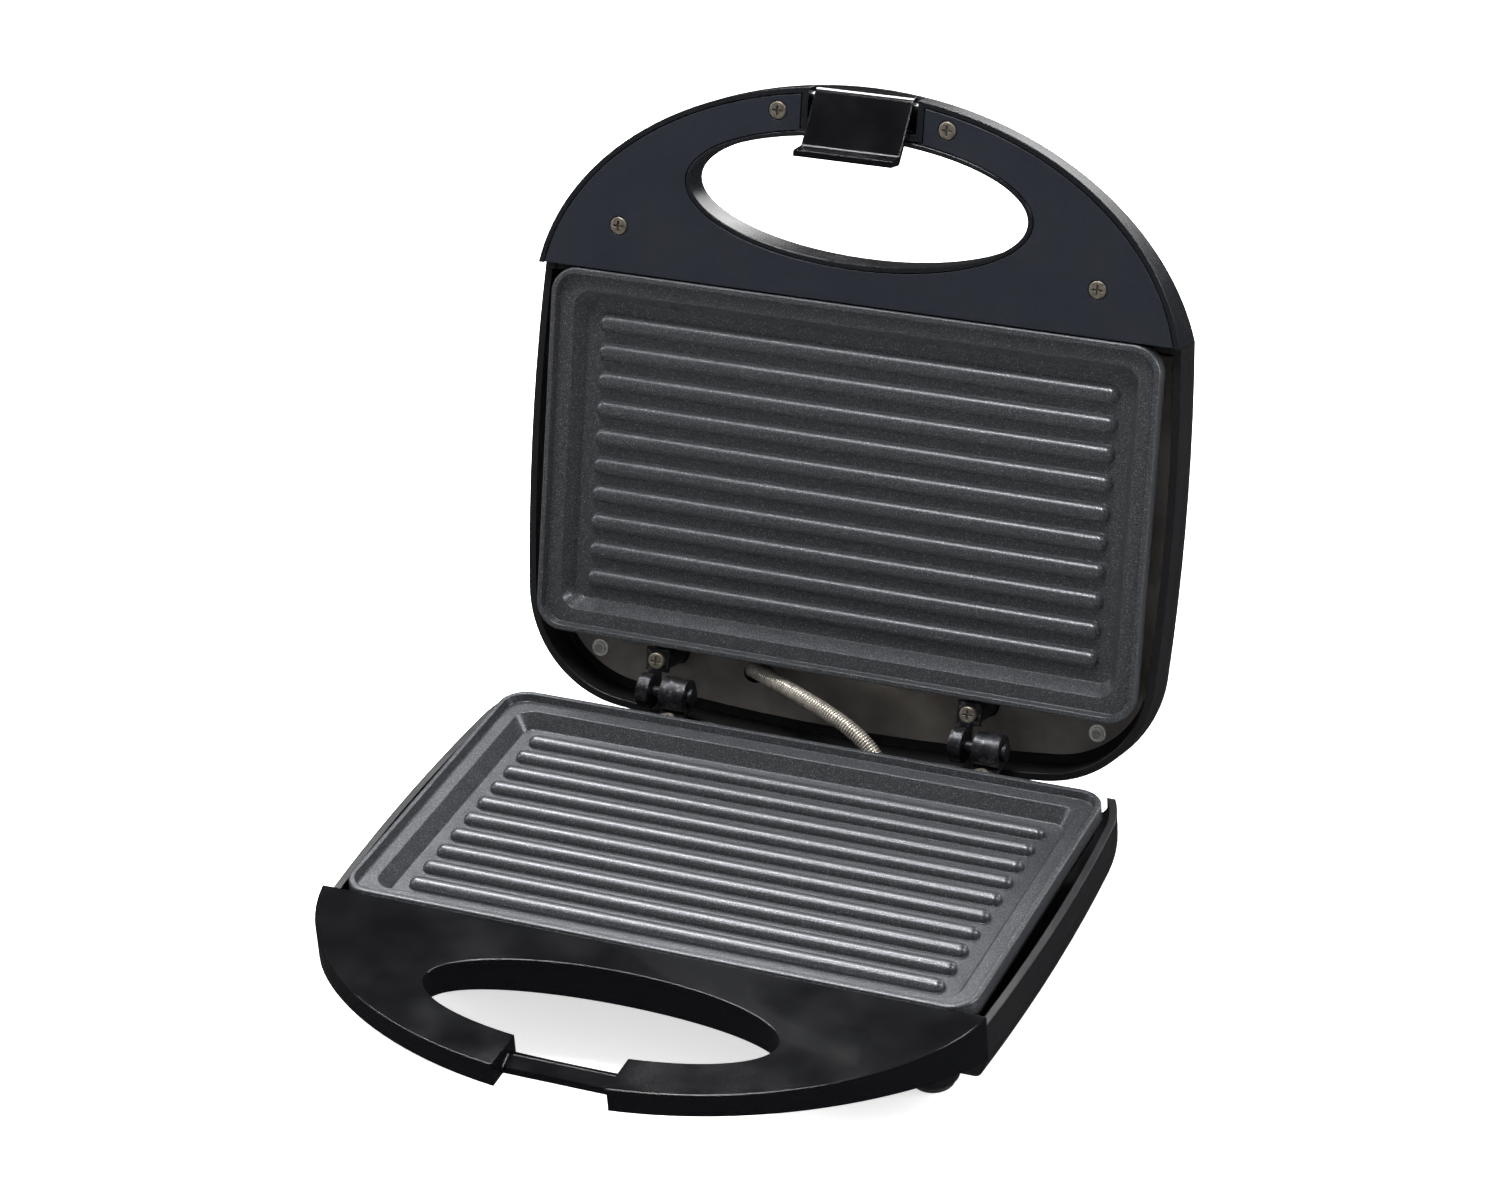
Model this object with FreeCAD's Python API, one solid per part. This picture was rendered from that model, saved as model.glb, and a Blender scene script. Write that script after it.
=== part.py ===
import FreeCAD, Part
import math
import os

# Panini press, standing open.  Millimetres, +Z up, +X to the right, the handles towards -Y.
# Everything is drawn with the lid shut, in a drawing frame whose x = 0 is the middle, whose y = 0 is
# the rear edge of the two cooking plates and whose z = 0 is the parting plane between them.  The lid's
# pieces are then swung open about the hinge, and the whole is moved so that the origin lies on the
# table under the middle of the open press.

Vector = FreeCAD.Vector
x_axis = Vector(1, 0, 0)
y_axis = Vector(0, 1, 0)
z_axis = Vector(0, 0, 1)
zero = Vector(0, 0, 0)

# ---- Driving dimensions -------------------------------------------------------------------------

# Cooking plates
plate_width = 218.4
plate_depth = 127.3
plate_corner = 9.5
plate_gap = 0.6              # left between the two lips when the lid is shut
lip_width = 2.0
land_drop = 2.8              # from the lip down to the flat land
land_inner = 7.7             # from the plate's edge to where the land ends
floor_drop = 8.2
floor_inner = 11.0
lip_rounding = 0.7
land_step = 0.5              # draft of the step from the lip down to the land
well_corner = 6.5
well_floor_corner = 4.0
flange_height = 5.5
pan_inset = 2.5
plate_floor = 3.2
rib_count = 10
rib_edge = 18.92             # from the plate's front or rear edge to the middle of the first rib
rib_pitch = (plate_depth - 2 * rib_edge) / (rib_count - 1)
rib_end_room = 15.7          # from the plate's side to the end of a rib
rib_length = plate_width - 2 * rib_end_room
rib_width = 5.8
rib_height = 3.0
rib_rounding = 2.6

# Casings
casing_side_room = 7.0       # from the plates to the outside of the casings where they are widest
body_half_width = plate_width / 2 + casing_side_room
widest_y = -plate_depth / 2 - 2.35    # where the bowed sides are widest
side_bow_radius = 830.0
casing_front_gap = 0.2       # from the plates to the line where the handles start
casing_front_y = -plate_depth - casing_front_gap
casing_rear_y = 29.0
rear_bow_radius = 740.0
rear_corner_radius = 40.0
rim_drop = 5.4               # from the parting plane to the rim of either casing
base_depth = 36.0            # from the parting plane to the underside of the base
lid_depth = 42.0             # from the parting plane to the top of the lid
base_edge_radius = 22.0      # rounding between the sides and the underside
lid_edge_radius = 26.0
casing_wall = 2.6
cover_split = 21.7           # height above the parting plane where the metal cover starts
cover_inset = 0.8
cover_sheet = 0.6
deck_window_corner = 8.0
vent_count = 7               # slots under the base
vent_pitch = 8.0
vent_first_y = -plate_depth / 2 - 24.35
vent_half_length = 22.0
vent_width = 3.0

# Studs that hold the metal cover down
stud_radius = 1.6
stud_x = body_half_width - 24.2
stud_rear_y = 9.0
stud_front_y = -plate_depth + 11.3
stud_clearance = 0.2
stud_end = 3.2               # how far a stud stands out of the deck
nut_radius = 3.0
nut_sheet = 0.8
nut_crown = (2.4, 2.05)      # radii at the foot and at the top
nut_height = 2.0

# Hinge
hinge_y = 15.1
hinge_z = -2.08
open_angle = 107.4           # how far the lid stands open, in degrees
hinge_x = 57.3               # half the distance between the two hinges
knuckle_radius = 6.0
knuckle_bore = 2.0
leaf_thickness = 1.5
base_knuckle_width = 9.1
lid_knuckle_width = 4.4
lid_leaf_width = 8.4
lid_tab_shift = -5.8         # from the hinge's place to the middle of the lid's screw tab
knuckle_gap = 4.2            # bare pin between the two knuckles
hinge_running_gap = 0.05
hinge_screw_y = 5.4
hinge_screw_radius = 1.5
hinge_post_radius = 4.4
hinge_leaf_start = 1.2       # from the plates' rear edge to the free edge of a hinge's leaf
hinge_tab_end = 9.2
hinge_neck_start = 8.0
hinge_screw_head = 2.9
hinge_screw_length = (9.0, 8.5)    # in the base and in the lid
lid_hinge_post_radius = 4.6
hinge_pin_end = 1.0          # bare pin past the lid's knuckle
hinge_pin_head = (1.2, 0.2, 1.6)   # step in radius, start and end past the base's knuckle
base_knuckle_start = -0.3    # from the middle of the bare pin's right end to the base's knuckle

# Heating elements and reflectors
element_radius = 3.25
element_half_width = plate_width / 2 - 31.2
element_rear_y = -22.0
element_front_y = -plate_depth + 22.3
element_bend = 14.0
element_end_x = 14.0
pin_radius = 1.6
pin_length = 8.0
ridge_half_width = 6.0
reflector_sheet = 0.8
reflector_inset = 6.0
element_clearance = 0.35
ridge_gap = 0.2              # from the ridge's open side to the middle of the element
lower_reflector_edge = (9.0, 6.0)  # how far it stays inside the plate, at the sides and the ends
reflector_corner = 6.0
lead_window = (16.0, 8.0)    # half width and half depth of the hole over the element's ends
post_hole_gap = 0.4

# Plate screws
boss_x = plate_width / 2 - 45.2
boss_edge = 13.1             # from the plate's front or rear edge to the screws
screw_radius = 2.0
screw_head_radius = 3.7
boss_radius = screw_radius + 2.2
post_radius = screw_head_radius + 1.9
screw_head_height = 2.6
screw_seat = 4.0
screw_clearance = 0.3
thread_clearance = 0.02

# Handles
handle_centre_y = casing_front_y + 12.5
handle_half_width = body_half_width - 0.2
handle_reach = 84.0          # from the centre of the ellipse to the front of the handle
handle_gap = 1.0             # from the parting plane to either handle
handle_rim = 1.8
handle_front_height = 9.4
handle_level_y = casing_front_y - 27.5
handle_level_height = 11.5
handle_root_height = 17.5
handle_skin = 2.5
grip_centre_y = casing_front_y - 34.5
grip_half_width = 60.0
grip_half_depth = 20.8
grip_rim = 1.7
tongue_x = 40.0              # the handles' tongues, screwed down inside the casings
tongue_half_width = 8.0
tongue_top = 16.2
tongue_thickness = 4.0
tongue_reach = 14.5
tongue_screw_y = casing_front_y + 9.1
tongue_gap = 0.3
tongue_seat = 2.0            # depth of the sunk holes for the tongues' screws
tongue_screw_bite = 2.7      # how far these screws reach into their posts
tongue_post_radius = 4.2
cover_gap = 0.4              # between a handle's rim and its cover
cover_thickness = 2.4
handle_screw_places = ((30.0, casing_front_y - 61.5), (handle_half_width - 30.5, casing_front_y - 16.0))
handle_screw_radius = 1.5
handle_screw_head = 3.0
small_head_height = 1.6
head_gap = 0.3               # round a sunk screw head
cover_seat = 1.2             # depth of the seats in the lid handle's cover
handle_post_wall = 1.2
notch_skin = 1.2
recess_wall = 2.2
recess_wall_reach = 8.0      # behind the notch
base_cover_boss_z = 5.4
base_cover_seat_z = 7.2

# Latch
latch_width = 34.6
latch_side_gap = 2.0
notch_half_width = latch_width / 2 + latch_side_gap
latch_tilt = 29.8            # slope of the hanging latch below the lid's plane
latch_shut_tilt = 90.0
latch_pivot_y = casing_front_y - 67.5
notch_rear_y = latch_pivot_y + 8.7
latch_pivot_z = 4.4
latch_barrel = 3.2
latch_plate = 2.2
latch_length = 20.6          # from the pivot to the bend of the finger lip
latch_lip_out = 5.3
latch_lip_down = 4.3
latch_hook_reach = 7.0
latch_hook_thickness = 2.4
latch_hook_gap = 0.5
latch_pin_radius = 1.2
latch_pin_end = notch_half_width + 2.0
latch_heel_reach = 3.0
stop_gap = 0.3

# Base handle's recess, which leaves room for the hanging latch when the lid is shut
recess_front_y = latch_pivot_y + 4.0
recess_front_depth = 5.6
recess_ridge_depth = 3.7
recess_hole_depth = 7.5

# Feet
foot_x = body_half_width - 27.2
front_foot_y = -plate_depth + 16.3
rear_foot_y = -3.0
foot_radius = 7.0
foot_height = 5.0
foot_recess = 2.0
foot_rounding = 1.0
leg_height = 4.0             # from the base's underside to the end of a leg
leg_top_radius = 13.0
leg_end_radius = 8.4

# Rear opening of the base, which leaves room for the lid
rear_step_y = 4.6
rear_step_end_y = 14.5
rear_rim_z = -20.7

# Cord inlet
inlet_x = -36.0
inlet_z = -base_depth + 7.6
inlet_bore = 3.8
inlet_radius = 5.6
inlet_face_y = 27.0
inlet_start_y = 16.0
inlet_collar_wall = 2.4
inlet_collar_start_y = 14.0
inlet_flange = 7.2
inlet_flange_thickness = 1.6

# Flexible sheath between base and lid
sheath_radius = 2.75
sheath_route = (
    (-41.0, 47.0, -8.0),
    (-34.5, 38.0, -1.6),
    (-27.0, 29.5, 2.4),
    (-14.0, 21.8, 3.7),
    (1.0, 16.0, 1.8),
    (13.0, 12.4, -1.8),
    (21.6, 9.8, -7.6),
    (26.0, 8.2, -16.0),
    (27.5, 7.0, -26.0),
)
sheath_hole_gap = 1.0        # around the sheath where it enters the lid
clamp_half = 6.0
clamp_rise = -0.5            # how far a clamp stands past the end of the sheath

# Small electrical pieces
thermostat_radius = 8.0
thermostat_height = 9.0
thermostat_tab = (4.0, 3.0, 0.8)   # reach, half width and sheet
thermostat_gap = 1.0
fuse_radius = 2.2
fuse_length = 16.0
fuse_place = (34.0, -46.0)
fuse_saddle = (3.0, 5.0, 0.8)      # half length, half width and sheet
lead_radius = 1.0
lead_clearance = 0.3
lead_end_gap = 3.2
sheath_lid_clearance = 0.1   # round the sheath in the lid's clamp
lead_height = 33.5           # of the upper leads above the parting plane
terminal_lead_height = 4.5   # of the lower leads above the base's floor
terminal_block_size = (32.0, 15.0, 9.0)
terminal_block_place = (40.0, -22.0)
terminal_pole_gap = 7.0
terminal_screw_radius = 1.6
lamp_x = 9.0
lamp_y = -plate_depth + 25.3
lens_radius = 3.6
lens_rim = 0.9
lens_cap = 1.2
lens_stem = 4.0
lamp_radius = 2.6
lamp_length = 11.0
lamp_top_drop = 4.4          # from the top of the lid to the top of a lamp
lamp_tip_radius = 1.4
holder_half = 5.0
holder_drop = 3.0            # from the top of a lamp to the top of its holder
holder_bore_depth = 8.0
holder_strap = 1.0

# ---- Heights worked out from the above ----------------------------------------------------------

lip_z = -plate_gap / 2
land_z = lip_z - land_drop
floor_z = lip_z - floor_drop
rib_top_z = floor_z + rib_height
under_z = floor_z - plate_floor
element_z = under_z - element_radius - 0.05
reflector_z = element_z - element_radius - element_clearance
post_z = reflector_z - reflector_sheet
seat_z = post_z - screw_seat
deck_z = -post_z
deck_window = (boss_x - 10.0, -plate_depth + 28.0, -12.0)   # half width, front and rear
first_rib_y = -(plate_depth - (rib_count - 1) * rib_pitch) / 2
floor_inside_z = -base_depth + casing_wall
leg_z = -base_depth - leg_height
leg_root_z = -base_depth + 12.0
terminal_z = floor_inside_z + terminal_lead_height
table_z = leg_z - foot_height + foot_recess
boss_places = [(sx * boss_x, y) for sx in (-1, 1) for y in (-boss_edge, -plate_depth + boss_edge)]
handle_cover_z = handle_gap + cover_thickness
hinge_places = {"left": -hinge_x, "right": hinge_x}


# ---- Helpers ------------------------------------------------------------------------------------

def box(x0, x1, y0, y1, z0, z1):
    return Part.makeBox(x1 - x0, y1 - y0, z1 - z0, Vector(x0, y0, z0))


def rod(radius, start, end):
    start, end = Vector(*start), Vector(*end)
    along = end - start
    return Part.makeCylinder(radius, along.Length, start, along)


def cone(radius_start, radius_end, start, end):
    start, end = Vector(*start), Vector(*end)
    along = end - start
    return Part.makeCone(radius_start, radius_end, along.Length, start, along)


def flipped(shape):
    """The same piece for the other casing, turned over about the parting plane."""
    turned = shape.copy()
    turned.rotate(zero, y_axis, 180)
    return turned


def rounded_wire(half_width, front_y, rear_y, radius, z):
    """A rectangle with four round corners, as eight edges."""
    corners = (
        (half_width - radius, rear_y - radius, 0),
        (-half_width + radius, rear_y - radius, 90),
        (-half_width + radius, front_y + radius, 180),
        (half_width - radius, front_y + radius, 270),
    )
    edges = []
    ends = []
    for cx, cy, start in corners:
        a, m, b = (
            Vector(cx + radius * math.cos(math.radians(t)), cy + radius * math.sin(math.radians(t)), z)
            for t in (start, start + 45, start + 90)
        )
        edges.append(Part.Arc(a, m, b).toShape())
        ends.append((a, b))
    lines = [
        Part.LineSegment(ends[i][1], ends[(i + 1) % 4][0]).toShape() for i in range(4)
    ]
    ordered = [edge for pair in zip(edges, lines) for edge in pair]
    return Part.Wire(ordered)


def rounded_block(half_width, front_y, rear_y, radius, z0, z1):
    face = Part.Face(rounded_wire(half_width, front_y, rear_y, radius, z0))
    return face.extrude(Vector(0, 0, z1 - z0))


def plate_wire(inset, radius, z):
    return rounded_wire(plate_width / 2 - inset, -plate_depth + inset, -inset, radius, z)


def plate_block(inset, radius, z0, z1):
    return Part.Face(plate_wire(inset, radius, z0)).extrude(Vector(0, 0, z1 - z0))


def unit(x, y):
    length = math.hypot(x, y)
    return x / length, y / length


def bend_arc(centre, radius, from_way, to_way, z):
    """An arc about a centre, between two directions given as unit vectors."""
    middle = unit(from_way[0] + to_way[0], from_way[1] + to_way[1])
    points = [
        Vector(centre[0] + radius * way[0], centre[1] + radius * way[1], z)
        for way in (from_way, middle, to_way)
    ]
    return Part.Arc(*points).toShape()


def casing_face(inset, z):
    """Plan of either casing: square front, bowed sides, large round rear corners, bowed rear."""
    side = (body_half_width - side_bow_radius, widest_y)
    rear = (0.0, casing_rear_y - rear_bow_radius)
    side_reach = side_bow_radius - rear_corner_radius
    rear_reach = rear_bow_radius - rear_corner_radius
    dx, dy = rear[0] - side[0], rear[1] - side[1]
    apart = math.hypot(dx, dy)
    along = (side_reach ** 2 - rear_reach ** 2 + apart ** 2) / (2 * apart)
    across = math.sqrt(side_reach ** 2 - along ** 2)
    ux, uy = dx / apart, dy / apart
    corner = (side[0] + along * ux - across * uy, side[1] + along * uy + across * ux)
    to_side = unit(corner[0] - side[0], corner[1] - side[1])
    to_rear = unit(corner[0] - rear[0], corner[1] - rear[1])
    front_y = casing_front_y + inset
    side_radius = side_bow_radius - inset
    front_x = side[0] + math.sqrt(side_radius ** 2 - (front_y - side[1]) ** 2)
    front_way = unit(front_x - side[0], front_y - side[1])
    side_edge = bend_arc(side, side_radius, front_way, to_side, z)
    corner_edge = bend_arc(corner, rear_corner_radius - inset, to_side, to_rear, z)
    left_rear = (-to_rear[0], to_rear[1])
    rear_edge = bend_arc(rear, rear_bow_radius - inset, to_rear, left_rear, z)
    left_side = (-to_side[0], to_side[1])
    left_corner = (-corner[0], corner[1])
    left_corner_edge = bend_arc(left_corner, rear_corner_radius - inset, left_rear, left_side, z)
    left_front = (-front_way[0], front_way[1])
    left_side_edge = bend_arc((-side[0], side[1]), side_radius, left_side, left_front, z)
    front_right = side_edge.valueAt(side_edge.FirstParameter)
    front_left = left_side_edge.valueAt(left_side_edge.LastParameter)
    edges = [side_edge, corner_edge, rear_edge, left_corner_edge, left_side_edge]
    edges.append(Part.LineSegment(front_left, front_right).toShape())
    return Part.Face(Part.Wire(edges))


def casing_block(inset, z0, z1):
    return casing_face(inset, z0).extrude(Vector(0, 0, z1 - z0))


def casing_tub(inset, z_open, z_end, radius):
    """A casing block whose far edge, at z_end, is rounded all the way round."""
    block = casing_block(inset, z_open, z_end)
    far = [
        edge for edge in block.Edges
        if all(abs(vertex.Z - z_end) < 1e-6 for vertex in edge.Vertexes)
    ]
    return block.makeFillet(radius, far)


def ellipse_block(centre_y, half_width, half_depth, z0, z1):
    """An oval block; the longer half axis may lie along x or y."""
    centre = Vector(0, centre_y, z0)
    ellipse = Part.Ellipse(centre + Vector(half_width, 0, 0), centre + Vector(0, half_depth, 0), centre)
    return Part.Face(Part.Wire(ellipse.toShape())).extrude(Vector(0, 0, z1 - z0))


def prism(points, x0, x1):
    """A straight-sided outline in the y, z plane, drawn out along x."""
    corners = [Vector(x0, y, z) for y, z in points]
    face = Part.Face(Part.makePolygon(corners + corners[:1]))
    return face.extrude(Vector(x1 - x0, 0, 0))


def round_edges(shape, radius, chosen):
    edges = [edge for edge in shape.Edges if chosen(edge)]
    return shape.makeFillet(radius, edges) if edges else shape


def path_wire(points, bends):
    """Straight runs joined by tangent arcs; one bend radius for each inner point."""
    points = [Vector(*point) for point in points]
    edges = []
    start = points[0]
    for before, point, after, bend in zip(points, points[1:], points[2:], bends):
        back = (before - point).normalize()
        ahead = (after - point).normalize()
        half_turn = (math.pi - back.getAngle(ahead)) / 2
        reach = bend * math.tan(half_turn)
        enter, leave = point + back * reach, point + ahead * reach
        inward = (back + ahead).normalize()
        middle = point + inward * (bend / math.cos(half_turn) - bend)
        edges.append(Part.LineSegment(start, enter).toShape())
        edges.append(Part.Arc(enter, middle, leave).toShape())
        start = leave
    edges.append(Part.LineSegment(start, points[-1]).toShape())
    return Part.Wire(edges)


def tube(points, radius, bends):
    wire = path_wire(points, bends)
    first = wire.Edges[0]
    way = first.tangentAt(first.FirstParameter)
    ring = Part.Wire(Part.makeCircle(radius, Vector(*points[0]), way))
    return wire.makePipeShell([ring], True, False)


def largest_bends(points):
    """The largest arcs that the runs of a cord allow, a little under half of the shorter run each."""
    points = [Vector(*point) for point in points]
    bends = []
    for before, point, after in zip(points, points[1:], points[2:]):
        run = min((point - before).Length, (after - point).Length)
        turn = math.pi - (before - point).getAngle(after - point)
        bends.append(0.45 * run / math.tan(turn / 2))
    return bends


def pan_screw(radius, head_radius, head_height, seat, tip):
    """A screw from its seat to its tip, with a cross recess in a slightly domed head."""
    seat, tip = Vector(*seat), Vector(*tip)
    way = (tip - seat).normalize()
    head_top = seat - way * head_height
    head = Part.makeCylinder(head_radius, head_height, head_top, way)
    head = head.makeFillet(head_height * 0.3, [
        edge for edge in head.Edges
        if abs((edge.CenterOfMass - head_top).dot(way)) < 1e-6 and len(edge.Vertexes) == 1
    ])
    cross_depth = head_height * 0.55
    slot = Part.makeBox(head_radius * 1.2, head_radius * 0.24, cross_depth * 2)
    slot.translate(Vector(-head_radius * 0.6, -head_radius * 0.12, -cross_depth))
    turned = slot.copy()
    turned.rotate(zero, z_axis, 90)
    cross = slot.fuse(turned)
    cross.Placement = FreeCAD.Placement(head_top, FreeCAD.Rotation(z_axis, way))
    shank = Part.makeCylinder(radius, (tip - seat).Length, seat, way)
    return head.cut(cross).fuse(shank).removeSplitter()


# ---- Cooking plate, element and reflector, drawn for the base -----------------------------------

def rib(y):
    half = rib_length / 2
    end_radius = rib_width / 2 - 0.01
    bar = rounded_block(half, y - rib_width / 2, y + rib_width / 2, end_radius, floor_z - 1, rib_top_z)
    return round_edges(bar, rib_rounding, lambda edge: all(
        abs(vertex.Z - rib_top_z) < 1e-6 for vertex in edge.Vertexes))


def element_points():
    x, near, far = element_half_width, element_rear_y, element_front_y
    return [
        (element_end_x, near, element_z), (x, near, element_z), (x, far, element_z),
        (-x, far, element_z), (-x, near, element_z), (-element_end_x, near, element_z),
    ]


def heater_tube(radius):
    points = element_points()
    return tube(points, radius, [element_bend] * (len(points) - 2))


def cooking_plate():
    flange = plate_block(0, plate_corner, lip_z - flange_height, lip_z)
    flange = round_edges(flange, lip_rounding, lambda edge: all(
        abs(vertex.Z - lip_z) < 1e-6 for vertex in edge.Vertexes))
    pan = plate_block(pan_inset, plate_corner - pan_inset, under_z, lip_z - flange_height + 0.5)
    body = flange.fuse(pan)
    land = Part.makeLoft([
        plate_wire(lip_width, plate_corner - lip_width, lip_z + 0.01),
        plate_wire(lip_width + land_step, plate_corner - lip_width - land_step, land_z),
    ], True, True)
    well = Part.makeLoft([
        plate_wire(land_inner, well_corner, land_z + 0.01),
        plate_wire(floor_inner, well_floor_corner, floor_z),
    ], True, True)
    body = body.cut(land).cut(well)
    for index in range(rib_count):
        body = body.fuse(rib(first_rib_y - index * rib_pitch))
    bend_out = element_bend + ridge_half_width
    bend_in = element_bend - ridge_half_width
    ridge_z = element_z + ridge_gap
    ridge = rounded_block(
        element_half_width + ridge_half_width, element_front_y - ridge_half_width,
        element_rear_y + ridge_half_width, bend_out, ridge_z, under_z + 0.5)
    ridge = ridge.cut(rounded_block(
        element_half_width - ridge_half_width, element_front_y + ridge_half_width,
        element_rear_y - ridge_half_width, bend_in, ridge_z - 1, under_z))
    ridge = ridge.cut(box(
        -element_end_x, element_end_x, element_rear_y - ridge_half_width - 1,
        element_rear_y + ridge_half_width + 1, ridge_z - 1, under_z))
    body = body.fuse(ridge).cut(heater_tube(element_radius + thread_clearance))
    for x, y in boss_places:
        body = body.fuse(rod(boss_radius, (x, y, reflector_z), (x, y, under_z + 0.5)))
        body = body.cut(rod(
            screw_radius + thread_clearance, (x, y, reflector_z), (x, y, under_z - screw_clearance)))
    return body.removeSplitter()


def heating_element():
    element = heater_tube(element_radius)
    for side in (-1, 1):
        x = side * element_end_x
        element = element.fuse(rod(
            pin_radius, (x, element_rear_y, element_z),
            (x - side * pin_length, element_rear_y, element_z)))
    return element


def reflector_holes():
    """What both reflectors leave room for: screws, tongue posts, thermostat and leads."""
    low, high = post_z - 1, reflector_z + 1
    middle_y = -plate_depth / 2
    holes = rod(thermostat_radius + thermostat_gap, (0, middle_y, low), (0, middle_y, high))
    for x, y in boss_places:
        holes = holes.fuse(rod(screw_radius + screw_clearance, (x, y, low), (x, y, high)))
    for x in (-tongue_x, tongue_x):
        holes = holes.fuse(rod(
            tongue_post_radius + post_hole_gap, (x, tongue_screw_y, low), (x, tongue_screw_y, high)))
    half, deep = lead_window
    return holes.fuse(box(-half, half, element_rear_y - deep, element_rear_y + deep, low, high))


def plate_screws():
    return [
        pan_screw(screw_radius, screw_head_radius, screw_head_height,
                  (x, y, seat_z), (x, y, under_z - 2 * screw_clearance))
        for x, y in boss_places
    ]


def thermostat():
    centre_y = -plate_depth / 2
    can = rod(thermostat_radius, (0, centre_y, under_z), (0, centre_y, under_z - thermostat_height))
    reach, half, sheet = thermostat_tab
    low = under_z - thermostat_height
    tabs = box(-thermostat_radius - reach, thermostat_radius + reach, centre_y - half, centre_y + half,
               low - sheet, low)
    return can.fuse(tabs).removeSplitter()


# ---- Handles, drawn for the lid (above the parting plane) ---------------------------------------

def handle_profile(drop):
    """Side view of a handle: level underneath, its back sweeping up to the casing."""
    front_y = handle_centre_y - handle_reach - 5
    start = Vector(0, front_y, handle_front_height - drop)
    end = Vector(0, casing_front_y, handle_root_height - drop)
    middle = Vector(0, handle_level_y, handle_level_height - drop)
    low_front = Vector(0, front_y, 0)
    low_rear = Vector(0, casing_front_y, 0)
    edges = [
        Part.Arc(start, middle, end).toShape(),
        Part.LineSegment(end, low_rear).toShape(),
        Part.LineSegment(low_rear, low_front).toShape(),
        Part.LineSegment(low_front, start).toShape(),
    ]
    face = Part.Face(Part.Wire(edges))
    half = handle_half_width + 5
    face.translate(Vector(-half, 0, 0))
    return face.extrude(Vector(2 * half, 0, 0))


def handle_plan(inset, z0, z1, rear_y):
    """Half an oval, cut off where the handle meets the casing."""
    oval = ellipse_block(handle_centre_y, handle_half_width - inset, handle_reach - inset, z0, z1)
    reach = handle_half_width + 10
    return oval.common(box(-reach, reach, handle_centre_y - 2 * reach, rear_y, z0 - 1, z1 + 1))


def grip_hole(grow, z0, z1):
    return ellipse_block(grip_centre_y, grip_half_width + grow, grip_half_depth + grow, z0, z1)


def handle_shell():
    """A handle moulding: outer skin, rim and grip wall, with a seat for the cover that closes it."""
    top = handle_root_height + 5
    solid = handle_plan(0, handle_gap, top, casing_front_y).common(handle_profile(0))
    solid = solid.cut(grip_hole(0, -5, top + 5))
    inside = handle_plan(handle_rim, -1, top, casing_front_y - handle_rim).common(
        handle_profile(handle_skin))
    inside = inside.cut(grip_hole(grip_rim, -5, top + 5))
    inside = inside.cut(notch_block(recess_wall, -1, top))
    solid = solid.cut(inside)
    seat = handle_plan(handle_rim, 0, handle_cover_z, casing_front_y + 1).cut(grip_hole(grip_rim, -5, top))
    solid = solid.cut(seat.cut(notch_block(recess_wall, -1, top)))
    for x, y in screw_places():
        post = rod(handle_screw_head + handle_post_wall, (x, y, handle_cover_z), (x, y, top))
        hole = rod(handle_screw_radius + thread_clearance, (x, y, 0), (x, y, handle_front_height - 2.0))
        solid = solid.fuse(post.common(handle_profile(1.0))).cut(hole)
    return solid


def notch_block(grow, z0, z1):
    """The space at the middle of the handle's front where the latch hangs."""
    return box(-notch_half_width - grow, notch_half_width + grow,
               handle_centre_y - handle_reach - 10, notch_rear_y + grow, z0, z1)


def screw_places():
    return [(side * x, y) for x, y in handle_screw_places for side in (-1, 1)]


def handle_cover():
    """The flat cover let into the open side of a handle."""
    inset = handle_rim + cover_gap
    cover = handle_plan(inset, handle_gap, handle_cover_z, casing_front_y - cover_gap)
    cover = cover.cut(grip_hole(grip_rim + cover_gap, -5, 50))
    cover = cover.cut(notch_block(recess_wall + cover_gap, -5, 50))
    for x, y in screw_places():
        cover = cover.cut(rod(handle_screw_radius + screw_clearance, (x, y, -1), (x, y, 10)))
        cover = cover.cut(rod(handle_screw_head + head_gap, (x, y, -1), (x, y, handle_gap + cover_seat)))
    return cover


def handle_screws():
    return [
        pan_screw(handle_screw_radius, handle_screw_head, small_head_height,
                  (x, y, handle_gap + cover_seat), (x, y, handle_front_height - 2.3))
        for x, y in screw_places()
    ]


# ---- What both casings share, drawn for the lid -------------------------------------------------

def front_wall_room():
    """Room over the casing's front wall for the plate's flange, and slots for the handle's tongues."""
    half = plate_width / 2 + 1.0
    flange_room = plate_gap / 2 + flange_height + tongue_gap
    room = box(-half, half, casing_front_y - 1, casing_front_y + 5, 0, flange_room)
    for x in (-tongue_x, tongue_x):
        half = tongue_half_width + tongue_gap
        room = room.fuse(box(x - half, x + half, casing_front_y - 1, casing_front_y + 5,
                             tongue_top - tongue_thickness - tongue_gap, tongue_top + tongue_gap))
    return room


def tongue_post(x, foot_z):
    return rod(tongue_post_radius, (x, tongue_screw_y, tongue_top), (x, tongue_screw_y, foot_z))


def tongue_screw_hole(x):
    return rod(handle_screw_radius + thread_clearance,
               (x, tongue_screw_y, tongue_top - 1), (x, tongue_screw_y, tongue_top + 3.0))


def tongue(x):
    """A flat lug that reaches from a handle into the casing, with a sunk hole for its screw."""
    low = tongue_top - tongue_thickness
    lug = box(x - tongue_half_width, x + tongue_half_width, casing_front_y - handle_rim / 2,
              casing_front_y + tongue_reach, low, tongue_top)
    y = tongue_screw_y
    lug = lug.cut(rod(handle_screw_radius + screw_clearance, (x, y, low - 1), (x, y, tongue_top + 1)))
    return lug.cut(rod(handle_screw_head + head_gap, (x, y, low - 1), (x, y, low + tongue_seat)))


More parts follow.
